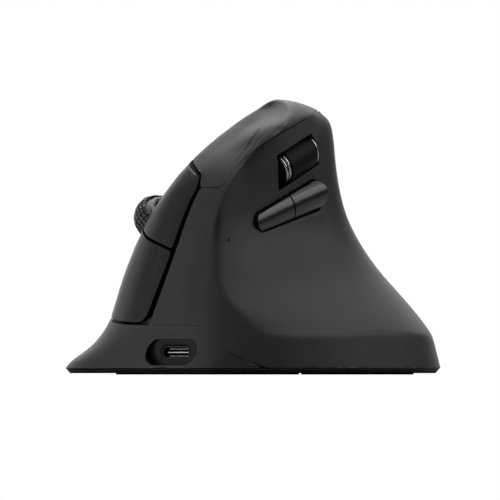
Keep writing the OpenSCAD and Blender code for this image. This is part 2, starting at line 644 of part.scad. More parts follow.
// Finger-side frame, board and switches
frame_top_h = 13.6 * stretch_w;
module finger_frame() {
    color("#3b3d40") difference() {
        union() {
            on_finger() {
                block([frame_p, rod_q - knuckle_r, board_h[0] - 1.5],
                    [frame_p + frame_t, board_q[1], frame_top_h]);
                for (e = rod_ears) translate([0, 0, e[0]]) linear_extrude(e[1] - e[0]) {
                    polygon([[frame_p, rod_q - knuckle_r], [rod_p, rod_q - knuckle_r],
                        [rod_p, rod_q + knuckle_r], [frame_p, rod_q + knuckle_r]]);
                    translate([rod_p, rod_q]) circle(knuckle_r);
                }
                block([frame_p, rod_q - knuckle_r, frame_top_h - 0.5],
                    [frame_p + frame_t, rod_q + knuckle_r, rod_ears[2][1]]);
            }
            for (at = leg_posts) block([at.x - leg_t / 2, at.y - leg_t / 2, floor_top],
                [at.x + leg_t / 2, at.y + leg_t / 2, frame_foot.z + 3]);
        }
        on_finger() {
            block([frame_p - 1, -wheel_window.x / 2, -wheel_window.y / 2],
                [frame_p + frame_t + 1, wheel_window.x / 2, wheel_window.y / 2]);
            translate([rod_p, rod_q, -30]) cylinder(r = rod_r + press_fit, h = 60);
        }
        // The legs stop at the back of the board
        on_finger() block([frame_p + frame_t, board_q[0] - 0.5, -40], [0, board_q[1] + 0.5, 0]);
        for (at = leg_posts) screw_hole(at);
    }
}
module hinge_rod() {
    color("#b9bbbe") on_finger() translate([rod_p, rod_q, rod_ears[0][0] - 0.4])
        cylinder(r = rod_r, h = rod_ears[2][1] - rod_ears[0][0] + 0.8);
}
module finger_board() {
    color("#1f4a33") on_finger() difference() {
        block([finger_board_p - board_t, board_q[0], board_h[0]], [finger_board_p, board_q[1], board_h[1]]);
        block([finger_board_p - 3, -wheel_window.x / 2, -wheel_window.y / 2],
            [finger_board_p + 1, wheel_window.x / 2, wheel_window.y / 2]);
    }
}
module main_switch(h) {
    on_finger() difference() {
        block([finger_board_p, switch_q - switch_size.y / 2, h - switch_size.z / 2],
            [finger_board_p + switch_size.x, switch_q + switch_size.y / 2, h + switch_size.z / 2]);
        block([plunger_top - 3.6, plunger_q - 1.7, h - 0.85], [plunger_top, plunger_q + 1.7, h + 0.85]);
        for (s = [-1, 1]) rod_z([finger_board_p + 2.2, switch_q + s * 3.2], 0.7, h - 4, h + 4);
    }
}
module plunger(h) {
    on_finger() block([plunger_top - 2.4, plunger_q - 1.45, h - 0.6],
        [plunger_top, plunger_q + 1.45, h + 0.6]);
}
module left_switch() {
    color("#232426") main_switch(switch_h);
}
module right_switch() {
    color("#232426") main_switch(lower_switch_h);
}
module left_plunger() {
    color("#b33a2e") plunger(switch_h);
}
module right_plunger() {
    color("#b33a2e") plunger(lower_switch_h);
}

// Scroll wheel
tyre_bore_r = wheel_d / 2 - 4;
// Round crown of the tyre: [share of half the width, drop from the largest radius]
tyre_crown = [[0.3, 0], [0.7, 0.8], [1, 2.3]];
tread_depth = 1.3;
tread_blocks = 18;
tread_cut = 1.6;
hub_bore_r = 2.4;
axle_r = wheel_axle_d / 2;
hex_r = axle_r + 0.35;
module on_wheel() {
    on_finger() translate([wheel_p, 0, 0]) children();
}
module scroll_tyre() {
    color("#161617") on_wheel() difference() {
        rotate_extrude() polygon([for (s = [-1, 1]) each [for (k = s < 0 ? [2, 1, 0] : [0, 1, 2])
            [wheel_d / 2 - tyre_crown[k][1], s * tyre_crown[k][0] * wheel_w / 2]],
            [tyre_bore_r, wheel_w / 2], [tyre_bore_r, -wheel_w / 2]]);
        // Cuts from both sides, half a step apart, leave two rows of staggered blocks
        for (i = [0:2 * tread_blocks - 1]) rotate(180 * i / tread_blocks)
            block([wheel_d / 2 - tread_depth, -tread_cut / 2, i % 2 == 0 ? -0.2 : -wheel_w],
                [wheel_d, tread_cut / 2, i % 2 == 0 ? wheel_w : 0.2]);
    }
}
module scroll_hub() {
    color("#4a4c50") on_wheel() difference() {
        translate([0, 0, -wheel_w / 2 + 0.5]) cylinder(r = tyre_bore_r - press_fit, h = wheel_w - 1);
        for (s = [-1, 1]) translate([0, 0, s * (wheel_w / 2 - 0.5) - 1.9]) difference() {
            cylinder(r = tyre_bore_r - 1.2, h = 3.8);
            translate([0, 0, -1]) cylinder(r = hub_bore_r, h = 6);
        }
        translate([0, 0, -wheel_w]) cylinder(r = axle_r + press_fit, h = 2 * wheel_w);
    }
}
module scroll_axle() {
    color("#b9bbbe") on_wheel() {
        translate([0, 0, cradle_h[0] - 0.4]) cylinder(r = axle_r, h = encoder_h[0] - 0.3 - cradle_h[0] + 0.4);
        translate([0, 0, encoder_h[0] - 0.3]) cylinder(r = hex_r, h = 4.2, $fn = 6);
    }
}
rotor_r = 1.9;
module wheel_encoder() {
    color("#2f5a3f") on_finger() difference() {
        block([finger_board_p, -5.5, encoder_h[0]], [wheel_p + 2.9, 5.5, encoder_h[1]]);
        rod_y([wheel_p, tilt_h], tilt_pin_r + running_fit, -6, tilt_pin_end + 0.3);
        translate([wheel_p, 0, encoder_h[0] + 0.4]) cylinder(r = rotor_r + loose_fit, h = 3.7);
        translate([wheel_p, 0, encoder_h[0] - 1]) cylinder(r = hex_r + 0.45, h = 2);
    }
}
module encoder_rotor() {
    color("#d9d4c4") on_wheel() difference() {
        translate([0, 0, encoder_h[0] + 0.7]) cylinder(r = rotor_r, h = 3);
        cylinder(r = hex_r + press_fit, h = 20, $fn = 6);
    }
}
module wheel_cradle() {
    // The axle runs in the cradle; an arm behind the wheel turns on a pin in the encoder
    color("#3b3d40") on_finger() difference() {
        union() {
            block([cradle_bottom, -2.6, cradle_h[0]], [wheel_p + 2.4, 2.6, cradle_h[1]]);
            block([cradle_bottom, carrier_q[0], cradle_h[0]], [wheel_p + 1, -2, cradle_h[0] + 2.2]);
            block([cradle_bottom, carrier_q[0], cradle_h[0]], [wheel_p + 1.6, carrier_q[1], tilt_h + 1.6]);
            rod_y([wheel_p, tilt_h], tilt_pin_r, carrier_q[0] + 0.5, tilt_pin_end);
        }
        translate([wheel_p, 0, -30]) cylinder(r = axle_r + running_fit, h = 30);
    }
}
middle_h = (cradle_h[0] + cradle_h[1]) / 2;
stem_r = 1.5;
module middle_switch() {
    color("#232426") on_finger() difference() {
        block([finger_board_p, -3, middle_h - 3], [cradle_bottom - 0.8, 3, middle_h + 3]);
        rod_x([0, middle_h], stem_r + 0.35, cradle_bottom - 2.4, cradle_bottom);
    }
}
module middle_stem() {
    color("#d9d4c4") on_finger() rod_x([0, middle_h], stem_r, cradle_bottom - 1.5, cradle_bottom);
}

// Thumb roller
core_r = 1.9;
ring_t = 0.8;
roller_axle_r = 0.8;
cheek_top_p = roller_p + 1.2;
cheek_half = 2.6;
roller_barrel = [-roller_l / 2 + 3 * ring_t, roller_l / 2 - 1.2 * ring_t];
roller_ribs = 36;
module on_roller() {
    at_roller() translate([roller_p, 0, 0]) rotate([-90, 0, 0]) children();
}
module thumb_roller() {
    color("#303134") on_roller() difference() {
        union() {
            translate([0, 0, roller_barrel[0]]) linear_extrude(roller_barrel[1] - roller_barrel[0])
                difference() {
                    circle(roller_r);
                    for (i = [0:roller_ribs - 1]) rotate(360 * i / roller_ribs)
                        translate([roller_r - 0.35, -0.25]) square([1, 0.5]);
                }
            translate([0, 0, -roller_l / 2]) cylinder(r = roller_r - 1.2, h = roller_l);
        }
        translate([0, 0, -roller_l]) cylinder(r = roller_axle_r + press_fit, h = 2 * roller_l);
    }
}
module roller_rings() {
    color("#c9cbce") on_roller() for (z = [-roller_l / 2, -roller_l / 2 + 1.6 * ring_t, roller_barrel[1]])
        translate([0, 0, z]) difference() {
            cylinder(r = roller_r - 0.15, h = ring_t);
            translate([0, 0, -1]) cylinder(r = roller_r - 1.2 + press_fit, h = 3);
        }
}
cheek_t = 1.4;
cheek_e = roller_l / 2 + 0.8;
module roller_axle() {
    color("#b9bbbe") on_roller() translate([0, 0, -cheek_e - 5.2])
        cylinder(r = roller_axle_r, h = 2 * cheek_e + cheek_t + 5);
}
module roller_bracket() {
    color("#3b3d40") at_roller() difference() {
        union() {
            block([flange_p - flange_t, flange_e[0], -4.2], [flange_p, flange_e[1], 4.2]);
            for (e = [-cheek_e - cheek_t, cheek_e])
                block([flange_p - flange_t, e, -cheek_half], [cheek_top_p, e + cheek_t, cheek_half]);
        }
        rod_y([roller_p, 0], roller_axle_r + running_fit, -30, 30);
        for (e = roller_boss_e) rod_x([e, 0], pilot_r + 0.1, flange_p - 5, flange_p + 5);
    }
}
module roller_encoder() {
    color("#2f5a3f") at_roller() difference() {
        block([roller_p - 2.6, -cheek_e - cheek_t - 3.4, -cheek_half],
            [cheek_top_p, -cheek_e - cheek_t, cheek_half]);
        rod_y([roller_p, 0], roller_axle_r + running_fit, -30, 0);
    }
}

// Side buttons, their board and switches
side_crown_r = 5;
side_proud = 1.5;
side_foot_p = -4.2 * stretch_w;
side_flange = 0.9;
side_switch_e = [-7.5, 7.5];
module side_button(e0, e1, switch_e) {
    on_side() difference() {
        union() {
            intersection() {
                thumb_sweep(-3.5, 5) side_bar(0);
                block([-4, e0, -9], [6, e1, 9]);
                rod_y([side_proud - side_crown_r, 0], side_crown_r, e0, e1);
            }
            intersection() {
                thumb_sweep(-3.7, -2.7) side_bar(side_flange);
                block([-4, max(e0, -40), -9], [6, min(e1, 40), 9]);
            }
            rod_x([switch_e, 0], 1.4, side_foot_p, -3);
        }
    }
}
module forward_button() {
    color("#3c3d40") side_button(-side_l, side_split_e - side_gap / 2, side_switch_e[0]);
}
module back_button() {
    color("#3c3d40") side_button(side_split_e + side_gap / 2, side_l, side_switch_e[1]);
}
module side_board() {
    color("#1f4a33") on_side() difference() {
        block([side_board_p - side_board_t, -12.5, side_boss_v - 2.3], [side_board_p, 12.5, 4]);
        for (e = side_boss_e) rod_x([e, side_boss_v], pilot_r + 0.1, side_board_p - 3, side_board_p + 3);
    }
}
module side_switch(e) {
    on_side() difference() {
        block([side_board_p, e - 2.6, -2.6], [side_foot_p - 0.7, e + 2.6, 2.6]);
        rod_x([e, 0], stem_r + 0.3, side_foot_p - 2, side_foot_p);
    }
}
module side_stem(e) {
    on_side() rod_x([e, 0], stem_r - 0.2, side_foot_p - 1.3, side_foot_p);
}
module forward_switch() {
    color("#232426") side_switch(side_switch_e[0]);
}
module back_switch() {
    color("#232426") side_switch(side_switch_e[1]);
}
module forward_stem() {
    color("#d9d4c4") side_stem(side_switch_e[0]);
}
module back_stem() {
    color("#d9d4c4") side_stem(side_switch_e[1]);
}
module status_light() {
    color("#d8dde0") translate(light_at) rotate([0, 90, 0]) cylinder(r = light_r, h = 4);
}

// Main board and what it carries
board_top = board_z + main_board_t;
module main_board() {
    color("#1f4a33") difference() {
        translate([0, 0, board_z]) linear_extrude(main_board_t)
            polygon(concat([for (at = [[12, 34], [12, -15], [-20, -15], [-28, -12], [-28, 30]]) placed(at)],
                [[socket_x - 10, recess_y - 3.5], [socket_x + 9, recess_y - 3.5]]));
        for (at = standoffs) translate([at.x, at.y, 0]) cylinder(r = pilot_r + 0.1, h = 20);
        for (at = thumb_posts) translate([at.x, at.y, 0]) cylinder(r = post_r + loose_fit, h = 20);
        translate([sensor_at.x, sensor_at.y, 0]) cylinder(r = 2.2, h = 20);
    }
}
module board_screws() {
    color("#9a9c9f") {
        for (at = standoffs) translate([at.x, at.y, board_top]) {
            translate([0, 0, -5]) cylinder(r = pilot_r, h = 5);
            cylinder(r = 1.6, h = 0.9);
        }
        at_roller() for (e = roller_boss_e) {
            rod_x([e, 0], pilot_r, flange_p - flange_t - 0.5, flange_p + 4.6);
            rod_x([e, 0], 1.6, flange_p - flange_t - 0.9, flange_p - flange_t);
        }
        on_side() for (e = side_boss_e) {
            rod_x([e, side_boss_v], pilot_r, side_board_p - side_board_t - 0.5, side_board_p + 3.2);
            rod_x([e, side_boss_v], 1.6, side_board_p - side_board_t - 0.9, side_board_p - side_board_t);
        }
    }
}
module control_chip() {
    color("#151516") translate([-19, 14, board_top]) block([-3.5, -3.5, 0], [3.5, 3.5, 0.9]);
}
module optical_sensor() {
    color("#1d1d1f") translate([sensor_at.x, sensor_at.y, board_top]) block([-5, -6, 0], [5, 6, 2.2]);
}
module sensor_lens() {
    color("#cfd6da") translate([sensor_at.x, sensor_at.y, 0]) {
        translate([0, 0, rim_z]) linear_extrude(1.4) round_rect(17, 11, 1.5);
        translate([0, 0, rim_z + 1.3]) cylinder(r = 2.1, h = board_top - rim_z - 1.4);
    }
}
module battery() {
    color("#7d8186") translate([battery_at.x, battery_at.y, battery_z]) linear_extrude(battery_size.z)
        round_rect(battery_size.x, battery_size.y, 1.5);
}
socket_l = 7.5;
module usb_shell() {
    color("#5a5c60") translate([socket_x, recess_y - socket_l, socket_z]) rotate([-90, 0, 0]) difference() {
        linear_extrude(socket_l - 0.1) round_rect(socket_size.x, socket_size.y, socket_size.y / 2 - 0.02);
        translate([0, 0, 0.8]) linear_extrude(socket_l)
            round_rect(socket_size.x - 2 * socket_shell_t, socket_size.y - 2 * socket_shell_t,
                socket_size.y / 2 - socket_shell_t - 0.02);
    }
}
module usb_tongue() {
    color("#1a1a1b") translate([socket_x, recess_y - socket_l + 0.8, socket_z])
        block([-3.35, 0, -0.35], [3.35, 5.6, 0.35]);
}
mode_case_z = board_z - 2.6;
module mode_switch() {
    color("#8d9094") translate([mode_at.x, mode_at.y, 0]) difference() {
        block([-2.6, -5.5, mode_case_z], [2.6, 5.5, board_z]);
        block([-1.1, -1.1 - mode_travel - 0.4, mode_case_z - 1],
            [1.1, 1.1 + mode_travel + 0.4, mode_case_z + 1.6]);
    }
}
module mode_slider() {
    color("#b9bbbe") translate([mode_at.x, mode_at.y, 0]) {
        block([-2, -1.6, plate_bottom + 0.4], [2, 1.6, mode_case_z - 0.4]);
        block([-0.8, -1, mode_case_z - 0.5], [0.8, 1, mode_case_z + 1.2]);
    }
}
dpi_top = board_z - 3.2;
dpi_travel = 0.4;
module dpi_button() {
    color("#303134") translate([dpi_at.x, dpi_at.y, 0]) {
        translate([0, 0, plate_bottom + 0.3]) cylinder(r = dpi_r, h = dpi_top - plate_bottom - 0.3);
        translate([0, 0, rim_z + 0.3]) cylinder(r = dpi_r + 1, h = 0.8);
    }
}
module dpi_switch() {
    color("#232426") translate([dpi_at.x, dpi_at.y, 0]) difference() {
        block([-3, -3, dpi_top + 0.7], [3, 3, board_z]);
        cylinder(r = stem_r + 0.3, h = dpi_top + 2);
    }
}
module dpi_stem() {
    color("#d9d4c4") translate([dpi_at.x, dpi_at.y, dpi_top]) cylinder(r = stem_r, h = 1.4);
}

bottom_plate();
base_skirt();
side_shell();
top_cover();
left_button();
right_button();
hinge_rod();
finger_frame();
finger_board();
left_switch();
right_switch();
left_plunger();
right_plunger();
scroll_tyre();
scroll_hub();
scroll_axle();
wheel_encoder();
encoder_rotor();
wheel_cradle();
middle_switch();
middle_stem();
thumb_roller();
roller_rings();
roller_axle();
roller_bracket();
roller_encoder();
forward_button();
back_button();
side_board();
forward_switch();
back_switch();
forward_stem();
back_stem();
status_light();
main_board();
board_screws();
control_chip();
optical_sensor();
sensor_lens();
battery();
usb_shell();
usb_tongue();
mode_switch();
mode_slider();
dpi_button();
dpi_switch();
dpi_stem();
front_skate();
rear_skate();
sensor_skate();
case_screws();
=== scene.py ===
# %% [markdown]
# # A vertical mouse, dressed for its portrait
# The construction model arrives as plain solids in metres, one object for each real piece. This lesson
# gives those pieces rounded edges, moulded finishes and the fine parts that a construction model leaves
# plain, and then sets up the studio. Every piece stays on its own body, so the buttons, the wheel and the
# roller still move. Where a surface is pulled away from the construction model, the text says so.

# %% Load the construction model
import json
import math

import bpy
from mathutils import Matrix, Vector


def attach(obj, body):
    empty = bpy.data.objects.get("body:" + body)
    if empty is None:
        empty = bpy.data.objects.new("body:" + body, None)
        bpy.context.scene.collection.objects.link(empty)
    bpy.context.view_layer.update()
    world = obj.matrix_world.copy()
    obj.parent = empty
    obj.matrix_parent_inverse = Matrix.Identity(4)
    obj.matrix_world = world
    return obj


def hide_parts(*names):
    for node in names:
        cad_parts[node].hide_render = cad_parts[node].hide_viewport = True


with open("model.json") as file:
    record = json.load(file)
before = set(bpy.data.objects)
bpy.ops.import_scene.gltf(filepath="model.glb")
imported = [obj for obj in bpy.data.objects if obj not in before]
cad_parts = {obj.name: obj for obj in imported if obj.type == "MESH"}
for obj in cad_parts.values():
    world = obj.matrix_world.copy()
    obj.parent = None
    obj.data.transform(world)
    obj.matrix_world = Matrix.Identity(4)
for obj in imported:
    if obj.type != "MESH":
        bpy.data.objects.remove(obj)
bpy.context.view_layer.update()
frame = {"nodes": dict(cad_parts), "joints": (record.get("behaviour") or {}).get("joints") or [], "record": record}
nodes = frame["nodes"]
record = frame["record"]
mm = 0.001
body_of_node = {node: body for body, members in record["behaviour"]["bodies"].items() for node in members}
slot_of_node = {part["node"]: part["material_slot"] for part in record["subparts"]}
joints = {joint["name"]: joint for joint in frame["joints"]}


# %% [markdown]
# ## The camera
# The photograph looks level at the thumb side, a little from the front, through a long lens: upright lines
# stay upright and the desk is seen edge-on. A perspective camera far away would come close, but an
# orthographic one is the plain way to get that. Its scale comes from the size of one picture point on the
# real mouse.

# %% Place the camera
photo_px = 500
mm_per_px = 1 / 3.93
azimuth = math.radians(218)
aim_right = -2.8 * mm
aim_height = 31.7 * mm
camera_distance = 0.6
camera_right = Vector((math.cos(azimuth), math.sin(azimuth), 0))
camera_back = Vector((math.sin(azimuth), -math.cos(azimuth), 0))
camera_place = camera_right * aim_right + Vector((0, 0, aim_height)) + camera_back * camera_distance

bpy.ops.object.select_all(action="DESELECT")
bpy.ops.object.camera_add(location=camera_place, rotation=(math.radians(90), 0, azimuth))
camera = bpy.context.object
camera.name = "photo_camera"
camera.data.type = "ORTHO"
camera.data.ortho_scale = photo_px * mm_per_px * mm
bpy.context.scene.camera = camera
print("camera sees", round(camera.data.ortho_scale / mm, 1), "mm")


# %% [markdown]
# ## Helpers for working by operator
# Operators act on whatever is selected, so each step first clears the selection and then picks one object.
# Modifiers are applied at once, because the finished piece has to be a plain mesh at the origin.

# %% Helpers for whole objects
def deselect():
    bpy.ops.object.select_all(action="DESELECT")


def pick(piece):
    deselect()
    piece.select_set(True)
    bpy.context.view_layer.objects.active = piece


def apply_modifier(piece, kind, **settings):
    pick(piece)
    modifier = piece.modifiers.new(kind.title(), kind)
    for name, value in settings.items():
        setattr(modifier, name, value)
    bpy.ops.object.modifier_apply(modifier=modifier.name)


def round_edges(piece, width, segments=2):
    """Bevels the edges that fold by more than 50 degrees."""
    apply_modifier(piece, "BEVEL", width=width, segments=segments, limit_method="ANGLE",
                   angle_limit=math.radians(50))


def smooth(piece, degrees):
    pick(piece)
    bpy.ops.object.shade_smooth_by_angle(angle=math.radians(degrees))


def joined(pieces):
    """Joins the pieces to one object, which keeps the name of the first."""
    pick(pieces[0])
    for piece in pieces[1:]:
        piece.select_set(True)
    bpy.ops.object.join()
    return bpy.context.object


def stand_for(piece, node, material):
    """The finished piece takes the node's place and body, and wears the finish it is given."""
    piece.data.materials.clear()
    piece.data.materials.append(material)
    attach(piece, body_of_node[node])
    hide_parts(node)


# %% [markdown]
# ## Helpers for faces and corners
# In edit mode an operator works on the selected faces or corners. Clicking them by hand can't be repeated,
# so a small test function says which ones are meant, from their place and the way they face.

# %% Helpers for parts of a mesh
def start_edit(piece, kind):
    """Enters edit mode with nothing selected. The kind is VERT, EDGE or FACE."""
    pick(piece)
    bpy.ops.object.mode_set(mode="EDIT")
    bpy.ops.mesh.select_mode(type=kind)
    bpy.ops.mesh.select_all(action="DESELECT")


def end_edit():
    bpy.ops.object.mode_set(mode="OBJECT")


def select_faces(piece, keep):
    """Selects the faces for which keep(centre, normal) is true, and stays in edit mode."""
    start_edit(piece, "FACE")
    end_edit()
    for face in piece.data.polygons:
        face.select = bool(keep(face.center, face.normal))
    bpy.ops.object.mode_set(mode="EDIT")


def select_corners(piece, keep):
    """Selects the corners for which keep(point) is true, and stays in edit mode."""
    start_edit(piece, "VERT")
    end_edit()
    for corner in piece.data.vertices:
        corner.select = bool(keep(corner.co))
    bpy.ops.object.mode_set(mode="EDIT")


def paint(piece, material, keep):
    """Gives the faces for which keep(centre, normal) is true a second finish."""
    piece.data.materials.append(material)
    piece.active_material_index = len(piece.data.materials) - 1
    select_faces(piece, keep)
    bpy.ops.object.material_slot_assign()
    end_edit()


# %% [markdown]
# ## Finishes
# The case is injection-moulded black plastic with a fine spark-eroded grain. The grain is far smaller than
# a picture point, so it works as a soft, slightly uneven sheen. A noise texture on object coordinates
# drives the roughness and a very shallow bump, and a second, larger noise keeps the black from being dead
# flat. The same recipe with other numbers serves rubber and metal, so one function makes them all.

# %% A recipe for moulded plastic and metal
cloud_scale = 60
sheen_swing = 0.06
bump_strength = 0.35


def finish(name, dark, light, roughness, grain_mm, bump_mm, metallic=0.0, specular=0.5):
    material = bpy.data.materials.new(name)
    material.use_nodes = True
    tree = material.node_tree
    shader = tree.nodes["Principled BSDF"]
    shader.inputs["Metallic"].default_value = metallic
    shader.inputs["Specular IOR Level"].default_value = specular
    place = tree.nodes.new("ShaderNodeTexCoord")

    cloud = tree.nodes.new("ShaderNodeTexNoise")
    cloud.inputs["Scale"].default_value = cloud_scale
    cloud.inputs["Detail"].default_value = 3
    shade = tree.nodes.new("ShaderNodeValToRGB")
    shade.color_ramp.elements[0].position = 0.3
    shade.color_ramp.elements[0].color = (*dark, 1)
    shade.color_ramp.elements[1].position = 0.7
    shade.color_ramp.elements[1].color = (*light, 1)
    tree.links.new(place.outputs["Object"], cloud.inputs["Vector"])
    tree.links.new(cloud.outputs["Fac"], shade.inputs["Fac"])
    tree.links.new(shade.outputs["Color"], shader.inputs["Base Color"])

    grain = tree.nodes.new("ShaderNodeTexNoise")
    grain.inputs["Scale"].default_value = 1 / (grain_mm * mm)
    grain.inputs["Detail"].default_value = 2
    sheen = tree.nodes.new("ShaderNodeMapRange")
    sheen.inputs["To Min"].default_value = roughness - sheen_swing
    sheen.inputs["To Max"].default_value = roughness + sheen_swing
    bump = tree.nodes.new("ShaderNodeBump")
    bump.inputs["Strength"].default_value = bump_strength
    bump.inputs["Distance"].default_value = bump_mm * mm
    tree.links.new(place.outputs["Object"], grain.inputs["Vector"])
    tree.links.new(grain.outputs["Fac"], sheen.inputs["Value"])
    tree.links.new(sheen.outputs["Result"], shader.inputs["Roughness"])
    tree.links.new(grain.outputs["Fac"], bump.inputs["Height"])
    tree.links.new(bump.outputs["Normal"], shader.inputs["Normal"])
    return material


def grey(value):
    return (value, value, value * 1.02)


print("finish recipe: cloud scale", cloud_scale, "sheen swing", sheen_swing)

# %% [markdown]
# ## One finish for each slot
# The main buttons are a little darker than the case, the roller is duller and the side buttons are
# smoother, so each has its own black. The pieces inside the case get plain finishes of their kind, since
# they show only when the case is opened. Each line gives the dark and light tone, the roughness, and the
# width and depth of the grain in millimetres.

# %% Mix the finishes and hand them out
case_black = finish("case_black", grey(0.030), grey(0.036), 0.52, 0.35, 0.02)
key_black = finish("key_black", grey(0.010), grey(0.013), 0.45, 0.35, 0.015, specular=0.35)
plate_black = finish("plate_black", grey(0.006), grey(0.009), 0.6, 0.4, 0.02)
roller_black = finish("roller_black", grey(0.008), grey(0.011), 0.55, 0.3, 0.008, specular=0.3)
satin_black = finish("satin_black", grey(0.030), grey(0.036), 0.25, 0.3, 0.004)
tyre_rubber = finish("tyre_rubber", grey(0.055), grey(0.070), 0.5, 0.3, 0.01)
hub_black = finish("hub_black", grey(0.020), grey(0.026), 0.34, 0.3, 0.006)
# Painted shade for the charging recess, darker than the case.
painted_recess_shade = finish("painted_recess_shade", grey(0.010), grey(0.013), 0.6, 0.35, 0.01, specular=0.2)
# Painted shade for the gaps at the main buttons' ends: near black, matte and hardly mirroring.
painted_gap_shade = finish("painted_gap_shade", grey(0.003), grey(0.005), 0.8, 0.35, 0.01, specular=0.1)
rim_grey = finish("rim_grey", grey(0.40), grey(0.46), 0.3, 0.3, 0.004)
bright_ring = finish("bright_ring", grey(0.45), grey(0.52), 0.22, 0.2, 0.004, metallic=1.0)
turned_steel = finish("turned_steel", grey(0.50), grey(0.58), 0.3, 0.2, 0.006, metallic=1.0)
socket_metal = finish("socket_metal", grey(0.018), grey(0.024), 0.5, 0.2, 0.005, metallic=0.4, specular=0.3)
# Painted highlight: a light metal for the thin strip on the tongue's front edge.
painted_edge_highlight = finish("painted_edge_highlight", grey(0.40), grey(0.46), 0.3, 0.2, 0.004, metallic=0.6)
spring_metal = finish("spring_metal", grey(0.20), grey(0.26), 0.35, 0.2, 0.004, metallic=0.6)
frame_plastic = finish("frame_plastic", grey(0.050), grey(0.062), 0.5, 0.4, 0.02)
switch_plastic = finish("switch_plastic", grey(0.024), grey(0.030), 0.42, 0.4, 0.01)
board_resist = finish("board_resist", (0.012, 0.07, 0.035), (0.02, 0.095, 0.05), 0.36, 0.5, 0.01)
encoder_green = finish("encoder_green", (0.03, 0.14, 0.07), (0.045, 0.17, 0.09), 0.45, 0.4, 0.01)
stem_plastic = finish("stem_plastic", (0.62, 0.57, 0.46), (0.70, 0.66, 0.55), 0.42, 0.4, 0.01)
smoked_lens = finish("smoked_lens", grey(0.004), grey(0.006), 0.25, 0.6, 0.002)
lens_plastic = finish("lens_plastic", (0.62, 0.68, 0.70), (0.70, 0.75, 0.77), 0.12, 0.6, 0.002)
battery_wrap = finish("battery_wrap", grey(0.42), grey(0.5), 0.38, 1.2, 0.03, metallic=0.6)
glide_pad = finish("glide_pad", grey(0.055), grey(0.068), 0.4, 0.3, 0.008)
finish_of_slot = {
    "shell_black": case_black,
    "plate_black": plate_black,
    "button_satin": satin_black,
    "tyre_rubber": tyre_rubber,
    "bright_ring": bright_ring,
    "steel": turned_steel,
    "socket_metal": socket_metal,
    "frame_plastic": frame_plastic,
    "board_green": board_resist,
    "switch_black": switch_plastic,
    "plunger_plastic": stem_plastic,
    "encoder_plastic": encoder_green,
    "lens_clear": lens_plastic,
    "battery_foil": battery_wrap,
    "glide_pad": glide_pad,
}
for node, piece in nodes.items():
    piece.data.materials.clear()
    piece.data.materials.append(finish_of_slot[slot_of_node[node]])
nodes["status_light"].data.materials[0] = smoked_lens
print("finishes:", len(finish_of_slot))


# %% [markdown]
# ## Mouldings with soft edges
# No moulded edge is knife-sharp. A copy of each shell is welded, so that its loose triangles share corners
# and pair up to quads. The real edges are creased, and a subdivision surface then turns the facets of the
# skin into smooth curves. Last, a small bevel rounds the creased edges, and weighted normals keep the broad
# faces beside it flat. A remesh would be shorter, but it would wash out the seams.

# %% A recipe for softened pieces
weld_gap = 0.002 * mm
crease_fold = math.radians(42)


def crease_edges(piece):
    """Marks the edges that fold sharply, so that subdivision keeps them."""
    start_edit(piece, "EDGE")
    bpy.ops.mesh.edges_select_sharp(sharpness=crease_fold)
    bpy.ops.transform.edge_crease(value=1)
    end_edit()


def pull(piece, keep, offset, reach):
    """Moves the corners for which keep(point) is true and softly takes along what lies within reach."""
    select_corners(piece, keep)
    bpy.ops.transform.translate(value=offset, use_proportional_edit=True, proportional_size=reach,
                                proportional_edit_falloff="LINEAR")
    end_edit()


def softened(node, round_mm, material, angle=40, levels=0, shifts=(), pulls=()):
    """A rounded copy of a node. Pulls are soft, shifts move the chosen faces alone."""
    pick(nodes[node])
    bpy.ops.object.duplicate()
    piece = bpy.context.object
    piece.name = node + "_moulding"
    # The copy must not carry the marks that make its original a node of the construction model.
    for key in list(piece.keys()):
        del piece[key]
    bpy.ops.object.mode_set(mode="EDIT")
    bpy.ops.mesh.select_all(action="SELECT")
    bpy.ops.mesh.remove_doubles(threshold=weld_gap)
    bpy.ops.mesh.tris_convert_to_quads(face_threshold=math.radians(30), shape_threshold=math.radians(60))
    end_edit()
    for keep, offset, reach in pulls:
        pull(piece, keep, offset, reach)
    for keep, offset in shifts:
        select_faces(piece, keep)
        bpy.ops.transform.translate(value=offset)
        end_edit()
    if levels:
        crease_edges(piece)
        apply_modifier(piece, "SUBSURF", levels=levels, subdivision_type="CATMULL_CLARK")
    round_edges(piece, round_mm * mm)
    smooth(piece, angle)
    apply_modifier(piece, "WEIGHTED_NORMAL", keep_sharp=True)
    stand_for(piece, node, material)
    print(piece.name, len(piece.data.polygons), "faces")
    return piece


# %% [markdown]
# ## The crown and its shoulder
# On the real mouse the top face stays light right up to its seam above the roller. The construction model
# rounds off too early there, and the place turned dark. The corners along the seam are pulled towards the
# camera in three steps, each over a shorter stretch of the seam and with a wider reach. The top cover and
# the side shell get the same pulls, so the seam between them stays closed.

# %% Pull the shoulder and soften the shells
seam_line = [(14.1, 66.8), (7.0, 62.7), (-0.6, 58.1), (-5.7, 53.1)]
seam_reach = 1
seam_farthest = -8 * mm


def on_shoulder(point, lowest, highest):
    """True near the seam of the top cover, between two heights, as the camera sees it (in mm)."""
    across = point.dot(camera_right) / mm
    height = point.z / mm
    if point.dot(camera_back) < seam_farthest or not lowest < height < highest:
        return False
    for (right, high), (left, low) in zip(seam_line, seam_line[1:]):
        share = (across - left) / (right - left)
        if 0 <= share <= 1:
            return abs(low + share * (high - low) - height) < seam_reach
    return False


def shoulder_pull(lowest, highest, step_mm, reach_mm):
    """One pull of the seam between two heights, towards the camera."""
    def keep(point):
        return on_shoulder(point, lowest, highest)
    return keep, camera_back * step_mm * mm, reach_mm * mm


shoulder_pulls = [shoulder_pull(57, 66.5, 2, 6), shoulder_pull(60, 65.5, 2, 8), shoulder_pull(62, 65, 3, 10)]
for node in ("top_cover", "side_shell"):
    softened(node, 0.1, case_black, levels=2, pulls=shoulder_pulls)
